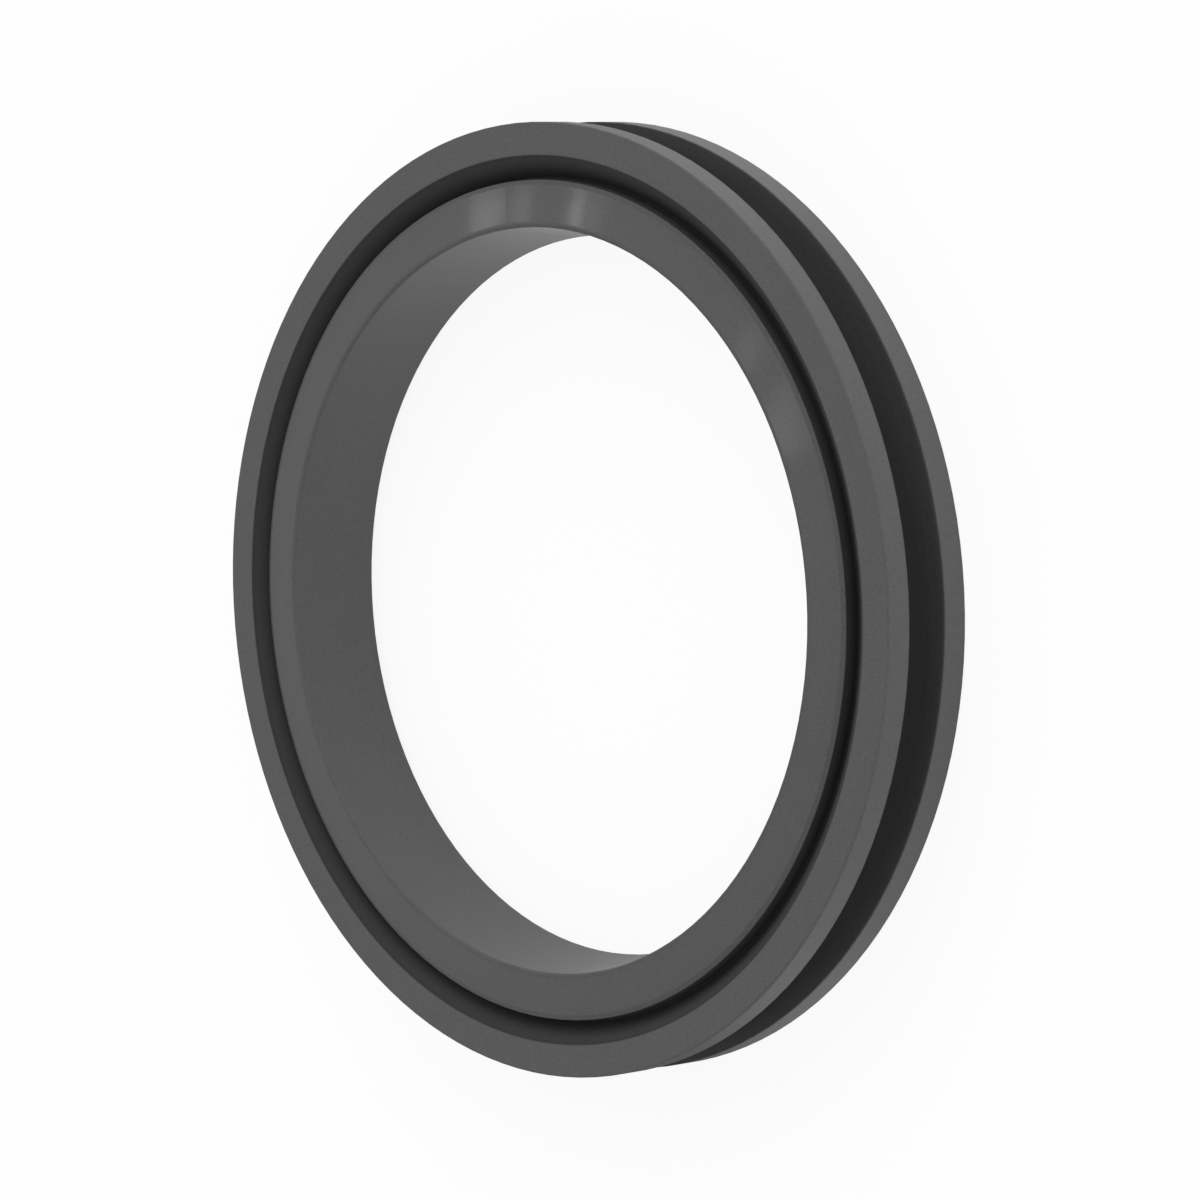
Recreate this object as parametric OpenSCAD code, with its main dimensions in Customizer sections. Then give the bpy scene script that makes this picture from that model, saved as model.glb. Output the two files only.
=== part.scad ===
// Grooved lip seal: one moulded elastomer ring. It lies on its back face, with the axis along +Z.
// A groove round the outside parts two sealing lips, and a V groove in each end face frees them to flex.

/* [Ring] */
// Outside diameter over both lips
outside_d = 40; // [32:0.5:90]
// Radial width of the section, from the narrow end of the bore to the outside
section_w = 4.75; // [4.2:0.05:6.5]
// Height from the back face to the front lip's face
ring_h = 4.5; // [4:0.1:7]

/* [Lips] */
// Radial width of a lip's flat end face
lip_w = 1.4; // [1:0.1:1.8]
// Height of the groove between the lips, at its mouth
outer_groove_h = 2; // [1.4:0.1:2.2]
// Depth of the groove between the lips
outer_groove_depth = 1.2; // [0.8:0.05:1.5]
// How much the groove between the lips narrows at each side on its way down
outer_groove_draft = 0.15; // [0:0.05:0.3]
// Radius at the foot of each side of the groove between the lips
outer_groove_foot_r = 0.45; // [0.1:0.05:0.5]

/* [Face grooves] */
// Radial width of the V groove in an end face, at its mouth
face_groove_w = 1; // [0.8:0.05:1.2]
// Depth of the V groove, from the lip's face to its bottom
face_groove_depth = 0.85; // [0.5:0.05:1]
// How far the steep wall of the V groove leans out on its way down
face_groove_lean = 0.05; // [0:0.05:0.2]
// Radius at the bottom of the V groove
face_groove_bottom_r = 0.05; // [0.03:0.01:0.1]

/* [Inner land] */
// Radial width of the bevel between the V groove and the land
bevel_w = 0.2; // [0.1:0.05:0.3]
// Height of that bevel
bevel_h = 0.08; // [0.04:0.02:0.12]
// Depth of the land's outer edge below the lip's face, on the front
land_drop = 0.06; // [0.02:0.02:0.1]
// Height of the land's inner edge above the lip's face, on the front
land_crown = 0.12; // [0:0.02:0.2]

/* [Bore] */
// Radial flare of the bore, from its narrow back end to its front end
bore_flare = 0.38; // [0.1:0.02:0.5]
// Radial width of the chamfer at the bore's back end
back_chamfer_w = 0.5; // [0.2:0.05:0.6]
// Height of that chamfer
back_chamfer_h = 0.4; // [0.2:0.05:0.6]

/* [Edges] */
// Radius on the lips' edges
lip_edge_r = 0.08; // [0.02:0.02:0.12]
// Radius on the front edge of the bore
bore_edge_r = 0.14; // [0.04:0.02:0.2]
// Radius on the other edges
small_edge_r = 0.04; // [0.02:0.01:0.06]

/* [Hidden] */
$fn = 180;
// Straight steps that make a quarter turn of an edge radius
quarter_steps = 6;
outside_r = outside_d / 2;
bore_r = outside_r - section_w;
lip_inner_r = outside_r - lip_w;
land_outer_r = lip_inner_r - face_groove_w;
groove_low_z = (ring_h - outer_groove_h) / 2;
groove_high_z = (ring_h + outer_groove_h) / 2;
groove_floor_r = outside_r - outer_groove_depth;
crease_r = land_outer_r + face_groove_lean;

// The section's corners: radius, height, and the radius that rounds the corner
function section_corners() = [
    [bore_r + back_chamfer_w, 0, small_edge_r],
    [land_outer_r - bevel_w, 0, small_edge_r],
    [land_outer_r, bevel_h, small_edge_r],
    [crease_r, face_groove_depth, face_groove_bottom_r],
    [lip_inner_r, 0, lip_edge_r],
    [outside_r, 0, lip_edge_r],
    [outside_r, groove_low_z, lip_edge_r],
    [groove_floor_r, groove_low_z + outer_groove_draft, outer_groove_foot_r],
    [groove_floor_r, groove_high_z - outer_groove_draft, outer_groove_foot_r],
    [outside_r, groove_high_z, lip_edge_r],
    [outside_r, ring_h, lip_edge_r],
    [lip_inner_r, ring_h, lip_edge_r],
    [crease_r, ring_h - face_groove_depth, face_groove_bottom_r],
    [land_outer_r, ring_h - land_drop - bevel_h, small_edge_r],
    [land_outer_r - bevel_w, ring_h - land_drop, small_edge_r],
    [bore_r + bore_flare, ring_h + land_crown, bore_edge_r],
    [bore_r, back_chamfer_h, small_edge_r]
];

function unit(v) = v / norm(v);
function xy(corner) = [corner[0], corner[1]];

// The points of one rounded corner, on an arc that touches both of its sides
function rounded(before, corner, after, r) =
    let (
        to_before = unit(before - corner),
        to_after = unit(after - corner),
        half_angle = acos(to_before * to_after) / 2,
        centre = corner + unit(to_before + to_after) * r / sin(half_angle),
        first = corner + to_before * r / tan(half_angle) - centre,
        side = cross(to_before, to_after) > 0 ? -1 : 1,
        turn = side * (180 - 2 * half_angle),
        steps = max(1, ceil(abs(turn) / 90 * quarter_steps))
    )
    [for (i = [0 : steps])
        let (a = turn * i / steps)
        centre + [first[0] * cos(a) - first[1] * sin(a), first[0] * sin(a) + first[1] * cos(a)]];

function section_points(corners) =
    let (n = len(corners))
    [for (i = [0 : n - 1])
        each rounded(xy(corners[(i + n - 1) % n]), xy(corners[i]), xy(corners[(i + 1) % n]), corners[i][2])];

module seal_ring() {
    color([0.13, 0.13, 0.13])
        rotate_extrude()
            polygon(section_points(section_corners()));
}

seal_ring();
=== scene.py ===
# A grooved lip seal: one ring of dark grey moulded rubber that lies on its back face.
# Lengths are in metres. The ring's axis is +Z, and its back face lies in the plane z = 0.
import math

import bpy
from mathutils import Matrix, Vector


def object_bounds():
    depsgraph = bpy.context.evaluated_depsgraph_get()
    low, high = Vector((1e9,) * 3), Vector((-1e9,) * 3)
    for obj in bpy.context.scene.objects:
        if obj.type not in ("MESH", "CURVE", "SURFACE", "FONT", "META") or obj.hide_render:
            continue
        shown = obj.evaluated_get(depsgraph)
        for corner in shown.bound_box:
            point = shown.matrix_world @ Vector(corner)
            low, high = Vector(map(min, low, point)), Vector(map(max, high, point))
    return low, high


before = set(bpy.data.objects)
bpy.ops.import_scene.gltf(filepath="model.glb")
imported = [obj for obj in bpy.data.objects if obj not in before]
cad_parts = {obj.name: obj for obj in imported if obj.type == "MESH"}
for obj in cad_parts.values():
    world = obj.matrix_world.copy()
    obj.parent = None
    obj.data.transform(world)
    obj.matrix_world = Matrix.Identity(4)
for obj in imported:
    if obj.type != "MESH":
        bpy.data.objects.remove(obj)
cad_low, cad_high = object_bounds()

# The camera
# A long lens looks at the front face from 47 degrees off the ring's axis, rolled so that the ring
# stands upright in the picture. Its focal length is given in pixels of a picture 1200 pixels wide.
mm = 0.001
ring_height = 4.5 * mm
camera_distance = 221.7 * mm
view_off_axis, view_roll = math.radians(47.1), math.radians(-4.77)
aim_across, aim_up = math.radians(-0.661), math.radians(0.017)
focal_pixels, image_pixels = 5299.0, 1200.0
away = Vector((0, -math.sin(view_off_axis), math.cos(view_off_axis)))
right = Vector((0, -math.cos(view_off_axis), -math.sin(view_off_axis)))
up = Vector((1, 0, 0))
rolled_right = right * math.cos(view_roll) + up * math.sin(view_roll)
rolled_up = up * math.cos(view_roll) - right * math.sin(view_roll)
turn = Matrix((rolled_right, rolled_up, away)).transposed()
turn = turn @ Matrix.Rotation(aim_across, 3, "Y") @ Matrix.Rotation(aim_up, 3, "X")
camera_place = Vector((0, 0, ring_height)) + away * camera_distance
camera = bpy.data.objects.new("camera", bpy.data.cameras.new("camera"))
camera.data.sensor_width = 36.0
camera.data.lens = focal_pixels / image_pixels * camera.data.sensor_width
camera.data.clip_start, camera.data.clip_end = 0.01, 10.0
camera.matrix_world = Matrix.Translation(camera_place) @ turn.to_4x4()
bpy.context.scene.collection.objects.link(camera)
bpy.context.scene.camera = camera
bpy.context.scene.view_settings.view_transform = "Standard"

# The seal ring
# One piece of dark grey nitrile rubber, pressed in a polished mould. Its faces carry a thin grey
# bloom over a soft grain, the grooves are painted darker with shade that deepens towards their
# bottoms, the bore is painted lighter, and the sloping land inside has been polished by the mould's
# core.
section_width, lip_width = 4.75 * mm, 1.4 * mm
lip_outer_r = cad_high.x
lip_inner_r = lip_outer_r - lip_width

side_groove_height, side_groove_depth = 2.0 * mm, 1.2 * mm
side_groove_low_z = 0.5 * (ring_height - side_groove_height)
side_groove_high_z = 0.5 * (ring_height + side_groove_height)
side_groove_floor_r = lip_outer_r - side_groove_depth

face_groove_width, face_groove_depth, face_groove_lean = 1.0 * mm, 0.85 * mm, 0.05 * mm
land_outer_r = lip_inner_r - face_groove_width
crease_r = land_outer_r + face_groove_lean
crease_from_middle = 0.5 * ring_height - face_groove_depth

bevel_width, bevel_height, land_drop = 0.2 * mm, 0.08 * mm, 0.06 * mm
bevel_inner_r = land_outer_r - bevel_width
bevel_foot_from_middle = 0.5 * ring_height - land_drop - bevel_height

# the edge between land and bore is rounded, so it lies a little outside the corner of the two
land_crown, bore_flare, back_chamfer_width = 0.12 * mm, 0.38 * mm, 0.5 * mm
bore_r = lip_outer_r - section_width
back_chamfer_r = bore_r + back_chamfer_width
land_inner_r = bore_r + bore_flare + 0.05 * mm
land_inner_z = ring_height + land_crown
land_middle_r = 16.5 * mm
bore_mouth_r = land_inner_r + 0.04 * mm

rubber = bpy.data.materials.new("moulded_rubber")
rubber.use_nodes = True
nodes, links = rubber.node_tree.nodes, rubber.node_tree.links
skin = nodes["Principled BSDF"]


def feed(value, socket):
    # this and the helpers below build in the node tree that nodes and links stand for at the time
    if isinstance(value, bpy.types.NodeSocket):
        links.new(value, socket)
    else:
        socket.default_value = value


def maths(operation, a, b=0.0, c=0.0):
    node = nodes.new("ShaderNodeMath")
    node.operation = operation
    for value, socket in zip((a, b, c), node.inputs):
        feed(value, socket)
    return node.outputs[0]


def ramp(value, start, end, low=0.0, high=1.0):
    # goes smoothly from low, where the value is start, to high, where it is end
    node = nodes.new("ShaderNodeMapRange")
    node.interpolation_type = "SMOOTHSTEP"
    feed(value, node.inputs["Value"])
    for name, given in (("From Min", start), ("From Max", end), ("To Min", low), ("To Max", high)):
        node.inputs[name].default_value = given
    return node.outputs["Result"]


def mottle(place, cell, detail, roughness=0.5):
    # soft random patches, each about one cell across
    node = nodes.new("ShaderNodeTexNoise")
    links.new(place, node.inputs["Vector"])
    node.inputs["Scale"].default_value = 1.0 / cell
    node.inputs["Detail"].default_value = detail
    node.inputs["Roughness"].default_value = roughness
    return node.outputs["Fac"]


def place_at(x, y, z):
    node = nodes.new("ShaderNodeCombineXYZ")
    for value, socket in zip((x, y, z), node.inputs):
        feed(value, socket)
    return node.outputs[0]


def distance(a, b):
    return maths("SQRT", maths("ADD", maths("MULTIPLY", a, a), maths("MULTIPLY", b, b)))


def where_all(mask, *others):
    # 1 only where every one of the masks is 1
    for other in others:
        mask = maths("MULTIPLY", mask, other)
    return mask


def shaded(tone, pattern, at_none, at_full):
    # the tone times at_none where the pattern is 0, and times at_full where it is 1
    return maths("MULTIPLY", tone, maths("MULTIPLY_ADD", pattern, at_full - at_none, at_none))


def shaded_inside(tone, mask, share):
    # the tone times the share inside the mask, and as it is outside
    return maths("MULTIPLY", tone, maths("MULTIPLY_ADD", mask, maths("SUBTRACT", share, 1.0), 1.0))


# where a point lies: its radius, its height, how far it is from mid height, and how far round
spot = nodes.new("ShaderNodeTexCoord").outputs["Object"]
split = nodes.new("ShaderNodeSeparateXYZ")
links.new(spot, split.inputs[0])
across, along, height = split.outputs
radius = distance(across, along)
arc = maths("MULTIPLY", maths("ARCTAN2", along, across), lip_outer_r)
from_middle = maths("ABSOLUTE", maths("SUBTRACT", height, 0.5 * ring_height))

# the V groove in both faces: between land and lip, and below the bevel at the land's edge
below_bevel = maths("MAXIMUM",
                    ramp(from_middle, bevel_foot_from_middle + 0.02 * mm,
                         bevel_foot_from_middle - 0.03 * mm),
                    ramp(radius, crease_r + 0.1 * mm, crease_r + 0.15 * mm))
face_groove = where_all(ramp(radius, land_outer_r - 0.03 * mm, land_outer_r),
                        ramp(radius, lip_inner_r + 0.05 * mm, lip_inner_r),
                        below_bevel)

# the groove between the lips, up to the lips' outer edges
side_groove = where_all(ramp(height, side_groove_low_z - 0.06 * mm, side_groove_low_z - 0.02 * mm),
                        ramp(height, side_groove_high_z + 0.06 * mm, side_groove_high_z + 0.02 * mm),
                        ramp(radius, side_groove_floor_r - 0.3 * mm, side_groove_floor_r - 0.2 * mm),
                        ramp(radius, lip_outer_r - 0.005 * mm, lip_outer_r - 0.02 * mm))

# the bore, the outside of the lips, all that lies inside the lips, its bevel, and the land
bore = ramp(radius, bore_mouth_r + 0.06 * mm, bore_mouth_r - 0.06 * mm)
outside = ramp(radius, lip_outer_r - 0.06 * mm, lip_outer_r - 0.01 * mm)
inner_part = ramp(radius, land_outer_r + 0.03 * mm, land_outer_r)
bevel = where_all(inner_part, ramp(radius, bevel_inner_r - 0.02 * mm, bevel_inner_r + 0.02 * mm))
land = where_all(ramp(radius, bevel_inner_r + 0.06 * mm, bevel_inner_r),
                 ramp(radius, bore_mouth_r + 0.08 * mm, bore_mouth_r + 0.18 * mm))

# bloom: broad clouds and a fine speckle, faint turned rings from the mould, and faint strokes
# across the outside where the ring was wiped. Rings and strokes are long, because only a small
# share of the way along them counts.
along_rings, along_strokes = 0.02, 0.12
clouds = mottle(spot, 4.5 * mm, 3.0)
speckle = mottle(spot, 0.07 * mm, 2.0, 0.6)
rings = mottle(place_at(radius, maths("MULTIPLY", arc, along_rings), 0.0), 0.12 * mm, 2.0)
strokes = mottle(place_at(arc, maths("MULTIPLY", height, along_strokes), 0.0), 0.16 * mm, 3.0)

# the edges that hands and fitting have rubbed duller, unevenly, and a faint painted highlight on them
nearest_edge = 1.0
for edge_r, edge_z in ((lip_outer_r, ring_height), (lip_inner_r, ring_height),
                       (land_inner_r, land_inner_z),
                       (lip_outer_r, side_groove_high_z), (lip_outer_r, side_groove_low_z),
                       (lip_outer_r, 0.0), (lip_inner_r, 0.0), (back_chamfer_r, 0.0)):
    reach = distance(maths("SUBTRACT", radius, edge_r), maths("SUBTRACT", height, edge_z))
    nearest_edge = maths("MINIMUM", reach, nearest_edge)
edge_wear_and_light = where_all(ramp(nearest_edge, 0.16 * mm, 0.03 * mm),
                   ramp(mottle(spot, 0.6 * mm, 3.0), 0.35, 0.65, 0.6, 1.0))

# painted shade in the grooves, darkest at the bottom: on the V groove's steep wall by height, on
# its slope and in the side groove by radius. Each share is how much of its tone the skin keeps.
wall_painted_shade = ramp(from_middle, crease_from_middle + 0.02 * mm, bevel_foot_from_middle - 0.01 * mm,
                  0.15, 0.44)
slope_painted_shade = ramp(radius, crease_r + 0.05 * mm, lip_inner_r - 0.05 * mm, 0.14, 0.38)
on_wall = ramp(radius, crease_r + 0.05 * mm, crease_r + 0.01 * mm)
face_groove_painted_shade = maths("MULTIPLY_ADD", on_wall, maths("SUBTRACT", wall_painted_shade, slope_painted_shade), slope_painted_shade)
side_groove_painted_shade = ramp(radius, side_groove_floor_r, side_groove_floor_r + 0.5 * mm, 0.20, 0.45)

# all inside the lips is a little darker, the bevel most with painted shade; the bore has painted light
rubber_grey, middle_tone = (0.181, 0.180, 0.179, 1), 0.5
tone = shaded(middle_tone, clouds, 0.92, 1.08)
tone = shaded(tone, speckle, 0.525, 1.475)
tone = shaded(tone, rings, 0.97, 1.03)
tone = shaded_inside(tone, outside, maths("MULTIPLY_ADD", strokes, 0.2, 0.9))
# painted highlight: the worn edges are painted a little lighter
tone = shaded(tone, edge_wear_and_light, 1.0, 1.02)
# painted shade: both grooves are darkened towards their bottoms
tone = shaded_inside(tone, face_groove, face_groove_painted_shade)
tone = shaded_inside(tone, side_groove, side_groove_painted_shade)
# painted light: the bore is painted lighter
tone = shaded(tone, bore, 1.0, 1.09)
tone = shaded(tone, inner_part, 1.0, 0.91)
# painted shade: the tilted bevel is painted darker
tone = shaded(tone, bevel, 1.0, 0.88)
colour = nodes.new("ShaderNodeMix")
colour.data_type = "RGBA"
links.new(tone, colour.inputs["Factor"])
colour.inputs["A"].default_value = (0, 0, 0, 1)
colour.inputs["B"].default_value = rubber_grey
links.new(colour.outputs["Result"], skin.inputs["Base Color"])

# a satin gloss, duller on the rubbed edges and in the grooves, though less so on the outer half
# of the side groove's walls
satin_roughness = 0.34
side_dullness = ramp(radius, side_groove_floor_r + 0.45 * mm, side_groove_floor_r + 0.8 * mm, 0.5, 0.2)
dullness = maths("MULTIPLY_ADD", clouds, 0.08, satin_roughness)
dullness = maths("MULTIPLY_ADD", speckle, 0.06, dullness)
dullness = maths("MULTIPLY_ADD", bore, 0.04, dullness)
dullness = maths("MULTIPLY_ADD", edge_wear_and_light, 0.3, dullness)
dullness = maths("MULTIPLY_ADD", face_groove, 0.5, dullness)
dullness = maths("MULTIPLY_ADD", side_groove, side_dullness, dullness)
links.new(dullness, skin.inputs["Roughness"])
skin.inputs["Specular IOR Level"].default_value = 0.5

# a thin polished skin on the land alone, which fades from its middle to the bevel
polish = ramp(radius, land_middle_r, bevel_inner_r, 0.23, 0.13)
links.new(maths("MULTIPLY", land, polish), skin.inputs["Coat Weight"])
skin.inputs["Coat Roughness"].default_value = 0.055
skin.inputs["Coat IOR"].default_value = 1.5

# the grain left by the mould, strongest in the bore
relief = maths("MULTIPLY_ADD", rings, 0.6, mottle(spot, 0.11 * mm, 2.0, 0.55))
grain = nodes.new("ShaderNodeBump")
grain.inputs["Strength"].default_value = 1.0
grain.inputs["Distance"].default_value = 0.0022 * mm
links.new(shaded(relief, bore, 1.0, 1.8), grain.inputs["Height"])
links.new(grain.outputs["Normal"], skin.inputs["Normal"])

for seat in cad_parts["seal_ring"].material_slots:
    seat.material = rubber

# The floor
# A plain pale sheet of matt board that the ring lies on. The camera sees most of it as white, and
# the rest keeps the ring's own soft shadow. So do reflections, at a white level of their own.
board_width = 4.0
seen_share, mirrored_share = 0.86, 0.9
seen_white = 1.04
bpy.ops.mesh.primitive_plane_add(size=board_width)
floor = bpy.context.object
floor.name = "floor"
board = bpy.data.materials.new("matt_board")
board.use_nodes = True
nodes, links = board.node_tree.nodes, board.node_tree.links
matt = nodes["Principled BSDF"]
matt.inputs["Base Color"].default_value = (0.9, 0.9, 0.9, 1)
matt.inputs["Roughness"].default_value = 1.0
matt.inputs["Specular IOR Level"].default_value = 0.0
rays = nodes.new("ShaderNodeLightPath").outputs
white_share = maths("ADD", maths("MULTIPLY", rays["Is Camera Ray"], seen_share),
                    maths("MULTIPLY", rays["Is Glossy Ray"], mirrored_share))

# painted reflections: the board glows for the ring's reflections alone, lighter on the ring's upper
# side in the picture, and darker just outside the ring at its two ends, most of all at the lower one
split = nodes.new("ShaderNodeSeparateXYZ")
links.new(nodes.new("ShaderNodeTexCoord").outputs["Object"], split.inputs[0])
board_x, board_y = split.outputs["X"], split.outputs["Y"]
lower_x, upper_x = -10.0 * mm, 10.0 * mm
# painted reflection: a darker patch that only reflections see, beside the ring's two ends
reflection_dark_at_ends = where_all(ramp(maths("ABSOLUTE", board_x), 16.2 * mm, 18.0 * mm),
                    ramp(board_y, -13.0 * mm, -1.0 * mm))
lost_at_ends = ramp(board_x, lower_x, upper_x, 0.65, 0.43)
mirrored_white = ramp(board_x, lower_x, upper_x, 0.83, 1.09)
mirrored_white = maths("SUBTRACT", mirrored_white, maths("MULTIPLY", reflection_dark_at_ends, lost_at_ends))
white = nodes.new("ShaderNodeEmission")
links.new(maths("MULTIPLY_ADD", rays["Is Glossy Ray"], maths("SUBTRACT", mirrored_white, seen_white),
                seen_white), white.inputs["Strength"])
blend = nodes.new("ShaderNodeMixShader")
links.new(white_share, blend.inputs["Fac"])
links.new(matt.outputs[0], blend.inputs[1])
links.new(white.outputs[0], blend.inputs[2])
links.new(blend.outputs[0], nodes["Material Output"].inputs["Surface"])
floor.data.materials.append(board)

# The studio
# An even white room with four large soft lamps round the ring, stronger on its upper side in the
# picture, and six narrow strips that the polished land mirrors. The camera sees the room as white.
room_level = 0.62
world = bpy.data.worlds.new("studio")
bpy.context.scene.world = world
world.use_nodes = True
nodes, links = world.node_tree.nodes, world.node_tree.links
room = nodes["Background"]
room.inputs["Color"].default_value = (1, 1, 1, 1)
rays = nodes.new("ShaderNodeLightPath").outputs
room_strength = maths("MULTIPLY_ADD", rays["Is Camera Ray"], 1.0 - room_level, room_level)
links.new(room_strength, room.inputs["Strength"])


def towards(elevation, azimuth):
    # azimuth 0 points to the picture's right and 90 to its top, in the plane of the ring
    e, a = math.radians(elevation), math.radians(azimuth)
    return Vector((math.cos(e) * math.sin(a), -math.cos(e) * math.cos(a), math.sin(e)))


def hang_lamp(name, place, target, width, depth, level):
    # level is the light that falls square on the target, as a share of full white
    lamp = bpy.data.objects.new(name, bpy.data.lights.new(name, "AREA"))
    lamp.data.shape = "RECTANGLE"
    lamp.data.size, lamp.data.size_y = width, depth
    lamp.data.energy = level * math.pi ** 2 * (place - target).length ** 2
    lamp.location = place
    lamp.rotation_mode = "QUATERNION"
    lamp.rotation_quaternion = (place - target).to_track_quat("Z", "Y")
    bpy.context.scene.collection.objects.link(lamp)


aim = Vector((0, 0, 3.0 * mm))
for name, elevation, azimuth, away_by, width, depth, level in (
        ("main_softbox", 40, 80, 1.1, 0.7, 0.5, 0.10),
        ("right_softbox", 22, 22, 0.9, 0.8, 0.35, 0.09),
        ("upper_softbox", 22, 88, 0.9, 0.5, 0.35, 0.18),
        ("lower_softbox", 22, 290, 0.9, 0.5, 0.35, 0.035)):
    hang_lamp(name, aim + towards(elevation, azimuth) * away_by, aim, width, depth, level)

# each strip hangs where the land, which slopes up to the bore, mirrors it at one angle round the ring
land_rise, land_run = 0.18 * mm, 1.7 * mm
land_slope = math.atan2(land_rise, land_run)
land_middle_z = 4.53 * mm
strip_distance, strip_length = 0.8, 0.05
for angle, width, level in ((93.8, 0.021, 0.0029), (85.8, 0.011, 0.0010), (74.9, 0.009, 0.0021),
                            (71.3, 0.012, 0.0006), (36.2, 0.012, 0.0008), (24.6, 0.021, 0.0017)):
    outwards = towards(0, angle)
    facing = outwards * math.sin(land_slope) + Vector((0, 0, math.cos(land_slope)))
    on_land = outwards * land_middle_r + Vector((0, 0, land_middle_z))
    to_camera = (camera_place - on_land).normalized()
    mirrored = facing * (2 * facing.dot(to_camera)) - to_camera
    hang_lamp(f"strip_at_{angle:.0f}", on_land + mirrored * strip_distance, on_land,
              strip_length, width, level)
